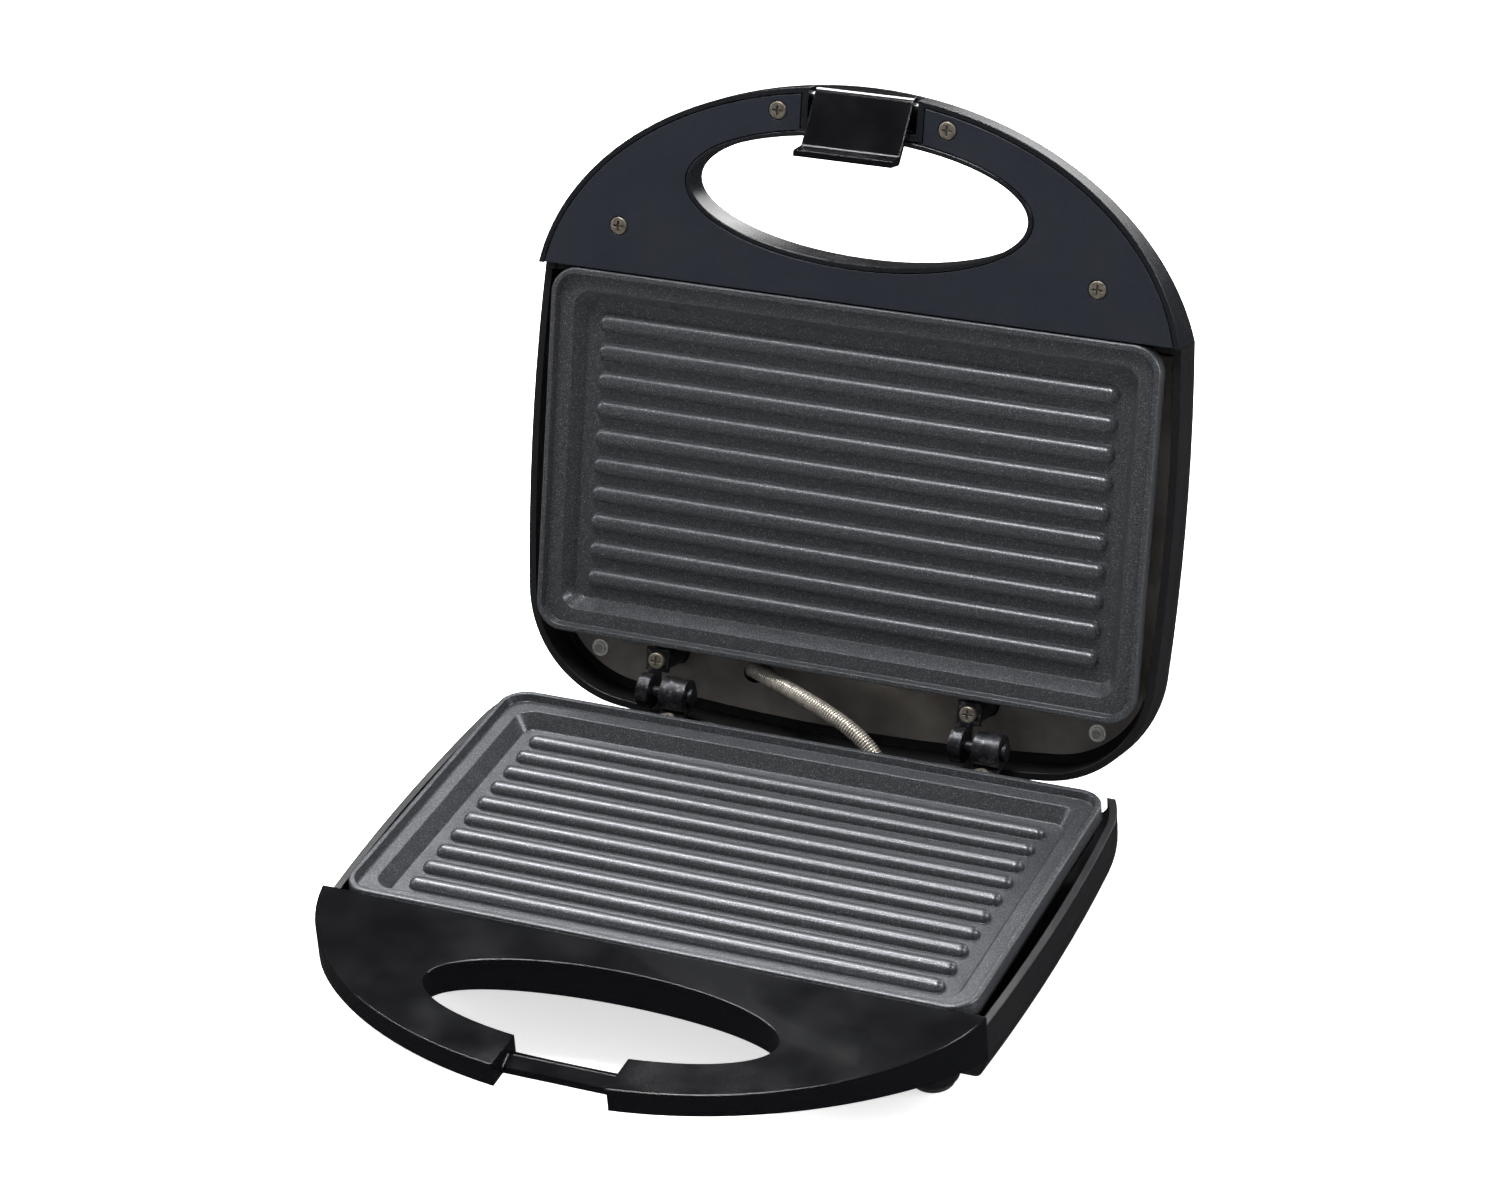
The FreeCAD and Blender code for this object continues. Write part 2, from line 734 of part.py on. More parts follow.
def tongue_screws():
    low = tongue_top - tongue_thickness + tongue_seat
    return [
        pan_screw(handle_screw_radius, handle_screw_head, small_head_height,
                  (x, tongue_screw_y, low), (x, tongue_screw_y, tongue_top + tongue_screw_bite))
        for x in (-tongue_x, tongue_x)
    ]


def lid_tab_x(x0):
    """Where the screw tab of a lid hinge lies, given the place of its hinge."""
    return x0 + lid_tab_shift


def stud_places():
    return [(side * stud_x, y) for side in (-1, 1) for y in (stud_rear_y, stud_front_y)]


# ---- Lid ----------------------------------------------------------------------------------------

def closed(shape):
    """A piece of the standing-open press, swung to where it is when the lid is shut."""
    turned = shape.copy()
    turned.rotate(Vector(0, hinge_y, hinge_z), x_axis, open_angle)
    return turned


def sheath_lid_hole():
    end, inner = Vector(*sheath_route[0]), Vector(*sheath_route[2])
    return closed(rod(sheath_radius + sheath_hole_gap, end, inner))


def lid_frame():
    outer = casing_tub(0, rim_drop, lid_depth, lid_edge_radius)
    inner = casing_block(casing_wall, rim_drop - 1, deck_z)
    keep = casing_block(-5, rim_drop, cover_split)
    frame = outer.common(keep).cut(inner)
    opening = rounded_block(*deck_window, deck_window_corner, deck_z - 1, cover_split + 1)
    frame = frame.cut(opening).cut(front_wall_room())
    for x, y in boss_places:
        frame = frame.fuse(rod(post_radius, (x, y, deck_z), (x, y, -seat_z)))
        frame = frame.cut(rod(screw_radius + screw_clearance, (x, y, deck_z - 1), (x, y, -seat_z + 1)))
    for x in (-tongue_x, tongue_x):
        frame = frame.fuse(tongue_post(x, deck_z + 0.5)).cut(tongue_screw_hole(x))
    for x, y in stud_places():
        frame = frame.cut(rod(stud_radius + stud_clearance, (x, y, deck_z - 1), (x, y, cover_split + 1)))
    for x0 in hinge_places.values():
        x = lid_tab_x(x0)
        leaf_top = hinge_z + knuckle_radius
        post = rod(lid_hinge_post_radius, (x, hinge_screw_y, leaf_top), (x, hinge_screw_y, deck_z + 0.5))
        hole = rod(hinge_screw_radius + thread_clearance, (x, hinge_screw_y, 0), (x, hinge_screw_y, 12))
        frame = frame.fuse(post).cut(hole)
    return frame.cut(sheath_lid_hole()).removeSplitter()


def lid_cover():
    """The pressed metal cover, with the four studs that hold it down."""
    outer = casing_tub(cover_inset, rim_drop, lid_depth, lid_edge_radius - cover_inset)
    inner = casing_tub(cover_inset + cover_sheet, rim_drop - 1, lid_depth - cover_sheet,
                       lid_edge_radius - cover_inset - cover_sheet)
    cover = outer.cut(inner).common(casing_block(-5, cover_split, lid_depth + 1))
    for x, y in stud_places():
        stud = rod(stud_radius, (x, y, deck_z - stud_end), (x, y, lid_depth))
        cover = cover.fuse(stud.common(outer))
    for x in (-lamp_x, lamp_x):
        cover = cover.cut(rod(lens_radius - 0.4, (x, lamp_y, lid_depth - 5), (x, lamp_y, lid_depth + 1)))
    return cover.removeSplitter()


def push_nuts():
    nuts = []
    for x, y in stud_places():
        top = -post_z - reflector_sheet
        nut = rod(nut_radius, (x, y, top - nut_sheet), (x, y, top))
        nut = nut.fuse(cone(*nut_crown, (x, y, top - nut_sheet + 0.1), (x, y, top - nut_height)))
        nuts.append(nut.cut(rod(stud_radius + thread_clearance, (x, y, top - 5), (x, y, top + 1))))
    return nuts


def lid_reflector():
    """The bright sheet behind the upper plate, which also closes the back of the lid's opening."""
    top, bottom = -post_z, -reflector_z
    sheet = casing_block(reflector_inset, bottom, top).cut(flipped(reflector_holes()))
    for x, y in stud_places():
        sheet = sheet.cut(rod(stud_radius + stud_clearance, (x, y, 0), (x, y, 40)))
    for x0 in hinge_places.values():
        x = lid_tab_x(x0)
        hole_radius = lid_hinge_post_radius + post_hole_gap
        sheet = sheet.cut(rod(hole_radius, (x, hinge_screw_y, 0), (x, hinge_screw_y, 40)))
    return sheet.cut(sheath_lid_hole())


def lid_handle():
    handle = handle_shell().cut(notch_block(0, 0, handle_front_height - notch_skin))
    pivot = rod(latch_pin_radius + thread_clearance, (-latch_pin_end - 0.5, latch_pivot_y, latch_pivot_z),
                (latch_pin_end + 0.5, latch_pivot_y, latch_pivot_z))
    handle = handle.cut(pivot)
    return handle.fuse(tongue(-tongue_x)).fuse(tongue(tongue_x)).removeSplitter()


def lid_lens(x):
    stem = rod(lens_radius - 0.5, (x, lamp_y, lid_depth - lens_stem), (x, lamp_y, lid_depth + 0.2))
    cap = rod(lens_radius + lens_rim, (x, lamp_y, lid_depth), (x, lamp_y, lid_depth + lens_cap))
    cap = cap.makeFillet(lens_cap / 2, [
        edge for edge in cap.Edges if edge.CenterOfMass.z > lid_depth + 1 and len(edge.Vertexes) == 1])
    return stem.fuse(cap).removeSplitter()


def neon_lamps():
    top = lid_depth - lamp_top_drop
    lamps = []
    for x in (-lamp_x, lamp_x):
        glass = rod(lamp_radius, (x, lamp_y, top - lamp_length), (x, lamp_y, top))
        lamps.append(glass.makeFillet(lamp_tip_radius, [
            edge for edge in glass.Edges
            if edge.CenterOfMass.z > top - 0.1 and len(edge.Vertexes) == 1]))
    return lamps


def lamp_holder():
    foot_z = cover_split + holder_strap
    top = lid_depth - lamp_top_drop - holder_drop
    half = lamp_x + holder_half
    block = box(-half, half, lamp_y - holder_half, lamp_y + holder_half, foot_z, top)
    for x in (-lamp_x, lamp_x):
        block = block.cut(rod(lamp_radius + 0.1, (x, lamp_y, top - holder_bore_depth), (x, lamp_y, top + 1)))
    strap = box(-half, half, -plate_depth + 20, lamp_y + holder_half, cover_split, foot_z)
    return block.fuse(strap).removeSplitter()


# ---- Hinges -------------------------------------------------------------------------------------

def base_hinge(x0):
    """The bracket on the base: a leaf screwed to its post, rolled up into a knuckle."""
    x1 = x0 + base_knuckle_start
    x2 = x1 + base_knuckle_width
    ring = rod(knuckle_radius, (x1, hinge_y, hinge_z), (x2, hinge_y, hinge_z))
    low = hinge_z - knuckle_radius
    leaf = box(x1, x2, hinge_leaf_start, hinge_y, low, low + leaf_thickness)
    bore = rod(knuckle_bore + thread_clearance, (x1 - 1, hinge_y, hinge_z), (x2 + 1, hinge_y, hinge_z))
    return ring.fuse(leaf).cut(bore).cut(hinge_screw_hole((x1 + x2) / 2, low))


def hinge_screw_hole(x, z):
    hole_radius = hinge_screw_radius + screw_clearance
    return rod(hole_radius, (x, hinge_screw_y, z - 3), (x, hinge_screw_y, z + 3))


def lid_hinge(x0):
    """The bracket on the lid: a narrow knuckle under a wider screw tab."""
    x2 = x0 + base_knuckle_start - knuckle_gap
    x1 = x2 - lid_knuckle_width
    high = hinge_z + knuckle_radius
    ring = rod(knuckle_radius, (x1, hinge_y, hinge_z), (x2, hinge_y, hinge_z))
    neck = box(x1, x2, hinge_neck_start, hinge_y, high - leaf_thickness, high)
    tab_x = lid_tab_x(x0)
    tab = box(tab_x - lid_leaf_width / 2, tab_x + lid_leaf_width / 2, hinge_leaf_start, hinge_tab_end,
              high - leaf_thickness, high)
    bore = rod(knuckle_bore + hinge_running_gap, (x1 - 1, hinge_y, hinge_z), (x2 + 1, hinge_y, hinge_z))
    return ring.fuse(neck).fuse(tab).cut(bore).cut(hinge_screw_hole(tab_x, high))


def hinge_pin(x0):
    x2 = x0 + base_knuckle_start + base_knuckle_width
    x1 = x2 - base_knuckle_width - knuckle_gap - lid_knuckle_width - hinge_pin_end
    step, start, end = hinge_pin_head
    shaft = rod(knuckle_bore, (x1, hinge_y, hinge_z), (x2 + start, hinge_y, hinge_z))
    head = rod(knuckle_bore + step, (x2 + start, hinge_y, hinge_z), (x2 + end, hinge_y, hinge_z))
    return shaft.fuse(head).removeSplitter()


def hinge_screw(x, z, tip_z):
    return pan_screw(hinge_screw_radius, hinge_screw_head, small_head_height,
                     (x, hinge_screw_y, z), (x, hinge_screw_y, tip_z))


def base_hinge_screws():
    low = hinge_z - knuckle_radius + leaf_thickness
    return [
        hinge_screw(x0 + base_knuckle_start + base_knuckle_width / 2, low, low - hinge_screw_length[0])
        for x0 in hinge_places.values()
    ]


def lid_hinge_screws():
    high = hinge_z + knuckle_radius - leaf_thickness
    return [
        hinge_screw(lid_tab_x(x0), high, high + hinge_screw_length[1]) for x0 in hinge_places.values()
    ]


# ---- Latch --------------------------------------------------------------------------------------

def latch():
    """Drawn hanging straight down from its pivot, then turned to where it rests."""
    half = latch_width / 2
    front = -latch_barrel
    back = front + latch_plate
    lip = latch_length
    barrel = rod(latch_barrel, (-half, 0, 0), (half, 0, 0))
    plate = prism([(front, 0), (back, 0), (back, -lip), (front, -lip)], -half, half)
    flare = prism([
        (front, -lip + 1.5), (back, -lip + 1.0), (back - 0.3, -lip - 0.8),
        (front - latch_lip_out + 1.0, -lip - latch_lip_down),
        (front - latch_lip_out, -lip - latch_lip_down + 1.8),
    ], -half, half)
    strip_low = latch_pivot_z + handle_front_height
    hook_z = -(strip_low + latch_hook_gap)
    hook = prism([
        (back - 0.5, hook_z), (back + latch_hook_reach, hook_z),
        (back + latch_hook_reach, hook_z - 1.0),
        (back + 1.5, hook_z - latch_hook_thickness - 1.5), (back - 0.5, hook_z - latch_hook_thickness - 1.5),
    ], -half + 4, half - 4)
    shape = barrel.fuse(plate).fuse(flare).fuse(hook)
    swing = math.radians(latch_shut_tilt - latch_tilt)
    wall = notch_rear_y - latch_pivot_y - stop_gap
    heel_high = latch_heel_reach
    depth_at = [(wall - reach * math.cos(swing)) / math.sin(swing) for reach in (back, heel_high)]
    for x in (-half + 6, half - 8):
        heel = prism([
            (back - 0.4, -2.0), (heel_high, -2.0), (heel_high, -depth_at[1]), (back - 0.4, -depth_at[0]),
        ], x, x + 2)
        shape = shape.fuse(heel)
    shape = shape.cut(rod(latch_pin_radius + hinge_running_gap, (-half - 1, 0, 0), (half + 1, 0, 0)))
    shape.rotate(zero, x_axis, latch_shut_tilt - latch_tilt)
    shape.translate(Vector(0, latch_pivot_y, latch_pivot_z))
    return shape.removeSplitter()


def latch_pin():
    return rod(latch_pin_radius, (-latch_pin_end, latch_pivot_y, latch_pivot_z),
               (latch_pin_end, latch_pivot_y, latch_pivot_z))


# ---- Base ---------------------------------------------------------------------------------------

def foot_places():
    return {
        "foot_front_left": (-foot_x, front_foot_y),
        "foot_front_right": (foot_x, front_foot_y),
        "foot_rear_left": (-foot_x, rear_foot_y),
        "foot_rear_right": (foot_x, rear_foot_y),
    }


def base_inside():
    return casing_tub(casing_wall, -rim_drop + 1, floor_inside_z, base_edge_radius - casing_wall)


def inlet_rod(radius, start_y, end_y):
    return rod(radius, (inlet_x, start_y, inlet_z), (inlet_x, end_y, inlet_z))


def base_shell():
    outer = casing_tub(0, -rim_drop, -base_depth, base_edge_radius)
    for x, y in foot_places().values():
        outer = outer.fuse(cone(leg_top_radius, leg_end_radius, (x, y, leg_root_z), (x, y, leg_z)))
    shell = outer.cut(base_inside())
    reach = body_half_width + 10
    shell = shell.cut(prism([
        (rear_step_y, 1), (rear_step_y, -rim_drop - 4), (rear_step_end_y, rear_rim_z),
        (casing_rear_y + 10, rear_rim_z), (casing_rear_y + 10, 1),
    ], -reach, reach))
    for x, y in boss_places:
        shell = shell.fuse(rod(post_radius, (x, y, post_z), (x, y, floor_inside_z - 1)).common(outer))
        shell = shell.cut(rod(screw_radius + screw_clearance, (x, y, post_z + 1), (x, y, seat_z - 1)))
        shell = shell.cut(rod(screw_head_radius + 0.4, (x, y, seat_z), (x, y, -base_depth - 1)))
    leaf_low = hinge_z - knuckle_radius
    for x0 in hinge_places.values():
        x = x0 + base_knuckle_start + base_knuckle_width / 2
        post = rod(hinge_post_radius, (x, hinge_screw_y, leaf_low), (x, hinge_screw_y, floor_inside_z - 1))
        hole = rod(hinge_screw_radius + thread_clearance,
                   (x, hinge_screw_y, leaf_low - 9.5), (x, hinge_screw_y, leaf_low + 1))
        shell = shell.fuse(post.common(outer)).cut(hole)
    for x, y in foot_places().values():
        shell = shell.cut(rod(foot_radius + 0.1, (x, y, leg_z + foot_recess), (x, y, leg_z - 1)))
    collar = inlet_rod(inlet_radius + inlet_collar_wall, inlet_collar_start_y, inlet_face_y)
    shell = shell.fuse(collar.common(casing_block(-1, -base_depth, rear_rim_z)))
    shell = shell.cut(inlet_rod(inlet_radius + 0.05, inlet_collar_start_y - 4, inlet_face_y + 5))
    shell = shell.cut(flipped(front_wall_room()))
    for x in (-tongue_x, tongue_x):
        post = flipped(tongue_post(x, -floor_inside_z + 1)).common(outer)
        shell = shell.fuse(post).cut(flipped(tongue_screw_hole(x)))
    for index in range(vent_count):
        y0 = vent_first_y + vent_pitch * index - vent_width / 2
        slot = rounded_block(vent_half_length, y0, y0 + vent_width, vent_width / 2 - 0.01,
                             -base_depth - 1, floor_inside_z + 1)
        shell = shell.cut(slot)
    return shell.removeSplitter()


def base_handle():
    """Drawn face up like the lid's handle, then turned over: one glossy piece, open underneath."""
    top = handle_root_height + 5
    handle = handle_plan(0, handle_gap, top, casing_front_y).common(handle_profile(0))
    handle = handle.cut(grip_hole(0, -5, top + 5))
    inside = handle_plan(handle_rim, handle_gap + handle_skin, top, casing_front_y - handle_rim)
    inside = inside.cut(grip_hole(grip_rim, -5, top + 5))
    inside = inside.cut(recess_wall_block(recess_wall, top))
    handle = handle.cut(inside)
    handle = handle.cut(recess_block())
    for x, y in screw_places():
        post = rod(handle_screw_head + handle_post_wall,
                   (x, y, handle_gap + 1), (x, y, base_cover_boss_z - 0.1))
        hole = rod(handle_screw_radius + thread_clearance,
                   (x, y, handle_gap + 1.2), (x, y, base_cover_boss_z + 1))
        handle = handle.fuse(post).cut(hole)
    handle = handle.fuse(tongue(-tongue_x)).fuse(tongue(tongue_x))
    return flipped(handle.removeSplitter())


def recess_wall_block(grow, height):
    """The part of the base handle's front that stays solid around its recess."""
    half = notch_half_width + grow
    front_y = handle_centre_y - handle_reach - 10
    return box(-half, half, front_y, notch_rear_y + recess_wall_reach, 0, height)


def recess_block():
    half = notch_half_width
    front_y = handle_centre_y - handle_reach - 10
    hole_y = grip_centre_y - grip_half_depth + 3.0
    return prism([
        (front_y, 0), (hole_y, 0), (hole_y, handle_gap + recess_hole_depth),
        (notch_rear_y, handle_gap + recess_ridge_depth), (recess_front_y, handle_gap + recess_front_depth),
        (recess_front_y, 30), (front_y, 30),
    ], -half, half)


def base_handle_cover():
    """The cover that closes the base's handle from below, following its curved underside."""
    inset = handle_rim + cover_gap
    top = handle_root_height + 5
    cover = handle_plan(inset, handle_gap, top, casing_front_y - inset).common(handle_profile(0))
    hollow = handle_profile(cover_thickness)
    for x, y in screw_places():
        hollow = hollow.cut(rod(handle_screw_head + handle_post_wall, (x, y, base_cover_boss_z), (x, y, top)))
    cover = cover.cut(hollow)
    for x, y in screw_places():
        cover = cover.cut(rod(handle_screw_radius + screw_clearance, (x, y, 0), (x, y, top)))
        cover = cover.cut(rod(handle_screw_head + head_gap, (x, y, base_cover_seat_z), (x, y, top)))
    cover = cover.cut(grip_hole(grip_rim + cover_gap, -5, 50))
    cover = cover.cut(recess_wall_block(recess_wall + cover_gap, top))
    return flipped(cover.removeSplitter())


def base_handle_screws():
    return [
        flipped(pan_screw(handle_screw_radius, handle_screw_head, small_head_height,
                          (x, y, base_cover_seat_z), (x, y, handle_gap + 1.5)))
        for x, y in screw_places()
    ]


def rubber_foot(x, y):
    foot = rod(foot_radius, (x, y, table_z), (x, y, leg_z + foot_recess))
    return foot.makeFillet(foot_rounding, [
        edge for edge in foot.Edges if edge.CenterOfMass.z < table_z + 0.1 and len(edge.Vertexes) == 1])


def base_reflector():
    side, end = lower_reflector_edge
    sheet = rounded_block(
        plate_width / 2 - side, -plate_depth + end, -end, reflector_corner, post_z, reflector_z)
    return sheet.cut(reflector_holes())


def cord_gland():
    end_y = inlet_face_y + inlet_flange_thickness
    flange = inlet_rod(inlet_flange, inlet_face_y, end_y)
    body = inlet_rod(inlet_radius, inlet_start_y, inlet_face_y).fuse(flange)
    return body.cut(inlet_rod(inlet_bore, inlet_start_y - 1, end_y + 1)).removeSplitter()


# ---- Electrical pieces --------------------------------------------------------------------------

def flexible_sheath():
    bends = largest_bends(sheath_route)
    print("sheath bends", [round(bend, 1) for bend in bends])
    return tube(sheath_route, sheath_radius, bends)


def sheath_clamp_base():
    """A block that stands on the floor of the base and grips the sheath's lower end."""
    x, y, z = sheath_route[-1]
    block = box(x - clamp_half, x + clamp_half, y - clamp_half, y + clamp_half,
                floor_inside_z, z + clamp_rise)
    way = Vector(*sheath_route[-2]) - Vector(x, y, z)
    hole = Part.makeCylinder(sheath_radius + thread_clearance, 3 * clamp_half, Vector(x, y, z), way)
    return block.common(base_inside()).cut(hole)


def sheath_clamp_lid():
    """The same for the lid, standing on its deck."""
    end = Part.Vertex(*sheath_route[0])
    x, y, z = closed(end).Point
    block = box(x - clamp_half, x + clamp_half, y - clamp_half, y + clamp_half, cover_split, z + clamp_rise)
    start, way = Vector(*sheath_route[0]), Vector(*sheath_route[1]) - Vector(*sheath_route[0])
    hole = closed(Part.makeCylinder(sheath_radius + sheath_lid_clearance, 3 * clamp_half, start, way))
    return block.cut(hole)


def terminal_block():
    length, width, height = terminal_block_size
    x, y = terminal_block_place
    top = floor_inside_z + height
    block = box(x - length / 2, x + length / 2, y - width / 2, y + width / 2, floor_inside_z, top)
    for side in (-1, 1):
        pole_y = y + side * terminal_pole_gap / 2
        hole = rod(lead_radius + lead_clearance, (x - length / 2 - 1, pole_y, terminal_z),
                   (x + length / 2 + 1, pole_y, terminal_z))
        block = block.cut(hole)
        for screw_x in (x - length / 4, x + length / 4):
            block = block.cut(rod(
                terminal_screw_radius, (screw_x, pole_y, terminal_z), (screw_x, pole_y, top + 1)))
    return block


def lead(points):
    bends = largest_bends(points)
    print("lead bends", [round(bend, 1) for bend in bends])
    return tube(points, lead_radius, bends)


def lead_start(side, height):
    """Just clear of an element's connecting pin, on the side away from the plate."""
    return side * (element_end_x - pin_length + 1.5), element_rear_y, height


def base_leads():
    """Leads from the element's pins through the reflector and along the floor to the terminal block."""
    block_x, block_y = terminal_block_place
    leads = []
    for side in (-1, 1):
        x, y, z = lead_start(side, element_z - pin_radius - lead_clearance)
        row_y = block_y + side * terminal_pole_gap / 2
        leads.append(lead([
            (x, y, z), (x + 1.5, row_y, terminal_z),
            (block_x - terminal_block_size[0] / 2 + 4, row_y, terminal_z),
        ]))
    return leads


def lid_leads():
    """Leads from the upper element's pins to the end of the sheath."""
    end = closed(Part.Vertex(*sheath_route[0])).Point
    leads = []
    for side in (-1, 1):
        x, y, z = lead_start(side, -element_z + pin_radius + lead_clearance)
        leads.append(lead([
            (x, y, z), (x - 1.5, y + 2.0, lead_height - 6.0), (x - 8.0, y + 10.0 - 2 * side, lead_height),
            (end.x + 5.0 + side, end.y - 6.0 - side, lead_height + 0.5),
            (end.x + 1.3 * side, end.y - 1.3 * side, end.z + lead_end_gap),
        ]))
    return leads


def thermal_fuse():
    """A fuse in a small saddle on the back of the lower reflector."""
    x, y = fuse_place
    z = post_z - fuse_radius - 0.4
    fuse = rod(fuse_radius, (x - fuse_length / 2, y, z), (x + fuse_length / 2, y, z))
    half_length, half_width, sheet = fuse_saddle
    saddle = box(x - half_length, x + half_length, y - half_width, y + half_width, post_z - sheet, post_z)
    return fuse.fuse(saddle).removeSplitter()


# ---- Assembly -----------------------------------------------------------------------------------

base_nodes = {
    "base_shell": base_shell(),
    "base_handle": base_handle(),
    "base_handle_cover": base_handle_cover(),
    "base_handle_screws": base_handle_screws(),
    "base_handle_tongue_screws": [flipped(screw) for screw in tongue_screws()],
    "lower_plate": cooking_plate(),
    "lower_plate_screws": plate_screws(),
    "lower_heating_element": heating_element(),
    "lower_reflector": base_reflector(),
    "lower_thermostat": thermostat(),
    "thermal_fuse": thermal_fuse(),
    "terminal_block": terminal_block(),
    "base_leads": base_leads(),
    "cord_gland": cord_gland(),
    "flexible_sheath": flexible_sheath(),
    "sheath_clamp_base": sheath_clamp_base(),
    "hinge_screws_base": base_hinge_screws(),
}
for name, place in foot_places().items():
    base_nodes[name] = rubber_foot(*place)
for side, x0 in hinge_places.items():
    base_nodes["hinge_bracket_base_" + side] = base_hinge(x0)
    base_nodes["hinge_pin_" + side] = hinge_pin(x0)

lid_nodes = {
    "lid_frame": lid_frame(),
    "lid_cover": lid_cover(),
    "cover_push_nuts": push_nuts(),
    "lid_handle": lid_handle(),
    "lid_handle_cover": handle_cover(),
    "lid_handle_screws": handle_screws(),
    "lid_handle_tongue_screws": tongue_screws(),
    "upper_plate": flipped(cooking_plate()),
    "upper_plate_screws": [flipped(screw) for screw in plate_screws()],
    "upper_heating_element": flipped(heating_element()),
    "upper_reflector": lid_reflector(),
    "upper_thermostat": flipped(thermostat()),
    "indicator_lens_power": lid_lens(-lamp_x),
    "indicator_lens_ready": lid_lens(lamp_x),
    "indicator_lamps": neon_lamps(),
    "lamp_holder": lamp_holder(),
    "hinge_screws_lid": lid_hinge_screws(),
    "latch_pin": latch_pin(),
    "lid_leads": lid_leads(),
    "sheath_clamp_lid": sheath_clamp_lid(),
}
for side, x0 in hinge_places.items():
    lid_nodes["hinge_bracket_lid_" + side] = lid_hinge(x0)

latch_nodes = {"latch": latch()}


def as_shape(piece):
    return Part.makeCompound(piece) if isinstance(piece, list) else piece


def opened(shape):
    turned = shape.copy()
    turned.rotate(Vector(0, hinge_y, hinge_z), x_axis, -open_angle)
    return turned


nodes = {name: as_shape(piece) for name, piece in base_nodes.items()}
for name, piece in list(lid_nodes.items()) + list(latch_nodes.items()):
    nodes[name] = opened(as_shape(piece))

boxes = [shape.optimalBoundingBox(False, False) for shape in nodes.values()]
front_y = min(each.YMin for each in boxes)
rear_y = max(each.YMax for each in boxes)
shift = Vector(0, -(front_y + rear_y) / 2, -table_z)
os.makedirs("parts", exist_ok=True)
for name, shape in nodes.items():
    placed = shape.copy()
    placed.translate(shift)
    placed.exportStep("parts/" + name + ".step")
    if not placed.isValid():
        print("invalid", name)

pivot = Part.Vertex(0, latch_pivot_y, latch_pivot_z)
pivot.rotate(Vector(0, hinge_y, hinge_z), x_axis, -open_angle)
print("nodes", len(nodes))
print("shift", [round(value, 3) for value in shift])
print("depth", round(rear_y - front_y, 2), "height", round(max(each.ZMax for each in boxes) - table_z, 2))
print("hinge axis", round(hinge_y + shift.y, 3), round(hinge_z + shift.z, 3))
print("latch axis", round(pivot.Y + shift.y, 3), round(pivot.Z + shift.z, 3))
inlet_end_y = inlet_face_y + inlet_flange_thickness + shift.y
print("inlet", inlet_x, round(inlet_end_y, 3), round(inlet_z + shift.z, 3))
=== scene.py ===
import bpy
from mathutils import Matrix, Vector


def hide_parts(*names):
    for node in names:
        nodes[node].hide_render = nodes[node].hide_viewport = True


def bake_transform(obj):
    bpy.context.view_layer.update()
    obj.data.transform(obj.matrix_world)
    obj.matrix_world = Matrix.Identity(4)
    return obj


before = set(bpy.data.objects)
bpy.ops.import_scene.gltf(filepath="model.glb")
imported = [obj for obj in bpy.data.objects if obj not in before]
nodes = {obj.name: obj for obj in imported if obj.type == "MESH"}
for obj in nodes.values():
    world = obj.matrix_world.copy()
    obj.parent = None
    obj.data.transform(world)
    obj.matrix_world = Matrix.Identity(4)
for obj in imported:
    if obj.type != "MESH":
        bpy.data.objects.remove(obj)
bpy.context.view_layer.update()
print("press loaded:", len(nodes), "nodes")

# ---- camera

cameraView = {
    "place": (0.544647, -1.117438, 0.859997),
    "right": (0.91565964, 0.39682718, -0.06399693),
    "up": (-0.15215283, 0.48955251, 0.85859644),
    "lens": 109.16,
    "sensorWidth": 36.0,
    "farEnd": 30.0,
}


def makeCamera(values):
    data = bpy.data.cameras.new("viewCamera")
    data.lens = values["lens"]
    data.sensor_width = values["sensorWidth"]
    data.clip_end = values["farEnd"]
    camera = bpy.data.objects.new("viewCamera", data)
    bpy.context.scene.collection.objects.link(camera)
    right, up = Vector(values["right"]), Vector(values["up"])
    back = right.cross(up)
    turn = Matrix((right, up, back)).transposed().to_4x4()
    camera.matrix_world = Matrix.Translation(Vector(values["place"])) @ turn
    bpy.context.scene.camera = camera


makeCamera(cameraView)
print("camera set")


# ---- materials

